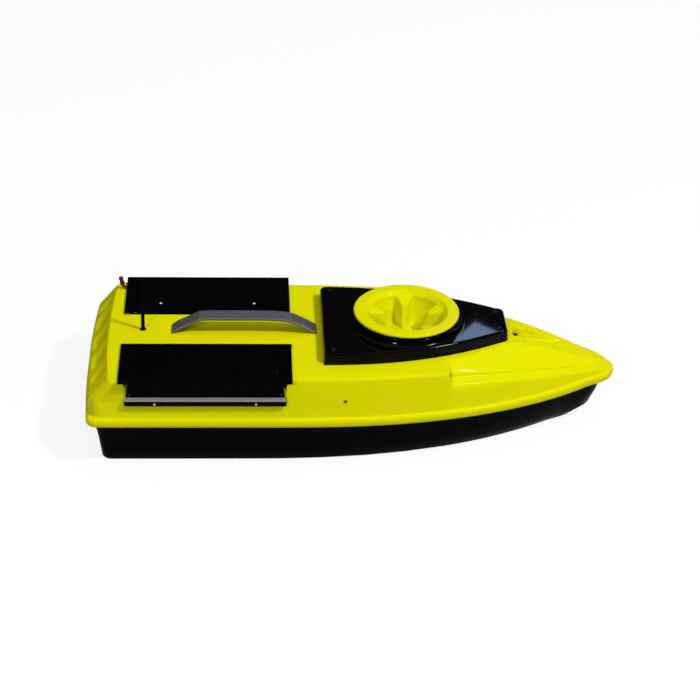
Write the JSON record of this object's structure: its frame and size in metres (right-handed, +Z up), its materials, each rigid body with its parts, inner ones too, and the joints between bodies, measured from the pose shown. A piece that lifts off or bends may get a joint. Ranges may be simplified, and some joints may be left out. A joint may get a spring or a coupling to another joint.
{
  "type": "radio controlled bait boat",
  "caption": "Flat-bottomed radio controlled bait boat with side hoppers that drop their load overboard, a hatch with a twist cap, a carrying handle and twin screws under the stern.",
  "frame": {"origin": "on the flat bottom of the hull, below the middle of the boat's length and beam", "axes": "+X towards the bow, +Y to port, +Z up"},
  "size_m": [0.6074, 0.244, 0.1714],
  "materials": {
    "hull_black": "moulded black plastic, satin",
    "deck_yellow": "moulded fluorescent yellow plastic, glossy",
    "gloss_black": "polished black plastic",
    "bin_black": "moulded black plastic, matt",
    "rubber": "black rubber",
    "alloy": "brushed and anodised",
    "steel": "bright zinc plated",
    "black_steel": "blackened steel",
    "brass": "turned",
    "red": "red plastic knob",
    "lamp": "clear moulded lamp",
    "battery_wrap": "shrink wrap",
    "motor_can": "plated steel can"
  },
  "bodies": {
    "boat": {"hull_shell": "hull_black", "gunwale_seal": "rubber", "deck_shell": "deck_yellow", "hatch_cover": "gloss_black", "hatch_seal": "rubber", "hatch_screw_1": "black_steel", "hatch_screw_2": "black_steel", "hatch_screw_3": "black_steel", "hatch_screw_4": "black_steel", "handle_strap": "alloy", "handle_screw_aft": "steel", "handle_screw_fore": "steel", "hopper_bin_port": "bin_black", "hopper_bin_starboard": "bin_black", "lid_hinge_pin_port": "steel", "lid_hinge_pin_starboard": "steel", "door_hinge_pin_port": "steel", "door_hinge_pin_starboard": "steel", "door_magnet_port": "motor_can", "door_magnet_starboard": "motor_can", "sill_strip_port": "alloy", "sill_strip_starboard": "alloy", "sill_screw_port_1": "steel", "sill_screw_port_2": "steel", "sill_screw_starboard_1": "steel", "sill_screw_starboard_2": "steel", "antenna_base": "bin_black", "antenna_whip": "rubber", "switch_body": "steel", "headlight_port": "lamp", "headlight_starboard": "lamp", "bow_light": "lamp", "motor_port": "motor_can", "motor_starboard": "motor_can", "stern_tube_port": "brass", "stern_tube_starboard": "brass", "motor_mount": "alloy", "battery": "battery_wrap", "battery_tray": "bin_black", "control_box": "bin_black"},
    "lid_port": {"hopper_lid_port": "gloss_black"},
    "lid_starboard": {"hopper_lid_starboard": "gloss_black"},
    "door_port": {"drop_door_port": "gloss_black", "door_keeper_port": "steel"},
    "door_starboard": {"drop_door_starboard": "gloss_black", "door_keeper_starboard": "steel"},
    "cap_seal": {"cap_o_ring": "rubber"},
    "cap": {"round_cap": "deck_yellow"},
    "screw_port": {"propeller_port": "bin_black", "prop_shaft_port": "steel", "coupling_port": "brass", "motor_shaft_port": "steel"},
    "screw_starboard": {"propeller_starboard": "bin_black", "prop_shaft_starboard": "steel", "coupling_starboard": "brass", "motor_shaft_starboard": "steel"},
    "toggle": {"switch_lever": "red"}
  },
  "joints": [
    {"name": "lid_port_hinge", "type": "hinge", "parent": "boat", "child": "lid_port", "pos_m": [-0.1675, 0.0386, 0.10505], "axis": [1, 0, 0], "range_deg": [0, 100]},
    {"name": "lid_starboard_hinge", "type": "hinge", "parent": "boat", "child": "lid_starboard", "pos_m": [-0.1675, -0.0386, 0.10505], "axis": [-1, 0, 0], "range_deg": [0, 100]},
    {"name": "door_port_hinge", "type": "hinge", "parent": "boat", "child": "door_port", "pos_m": [-0.1675, 0.1104, 0.0866], "axis": [-1, 0, 0], "range_deg": [0, 95]},
    {"name": "door_starboard_hinge", "type": "hinge", "parent": "boat", "child": "door_starboard", "pos_m": [-0.1675, -0.1104, 0.0866], "axis": [1, 0, 0], "range_deg": [0, 95]},
    {"name": "cap_lift", "type": "slide", "parent": "boat", "child": "cap_seal", "axis": [0, 0, 1], "range_m": [0, 0.06]},
    {"name": "cap_turn", "type": "hinge", "parent": "cap_seal", "child": "cap", "pos_m": [0.059, 0, 0.1295], "axis": [0, 0, 1], "range_deg": [0, 90]},
    {"name": "screw_port_spin", "type": "hinge", "parent": "boat", "child": "screw_port", "pos_m": [-0.256, 0.052, 0.02], "axis": [1, 0, 0], "continuous": true},
    {"name": "screw_starboard_spin", "type": "hinge", "parent": "boat", "child": "screw_starboard", "pos_m": [-0.256, -0.052, 0.02], "axis": [1, 0, 0], "continuous": true},
    {"name": "toggle_throw", "type": "hinge", "parent": "boat", "child": "toggle", "pos_m": [-0.266, 0.0955, 0.1042], "axis": [0, 1, 0], "range_deg": [0, 24]}
  ]
}
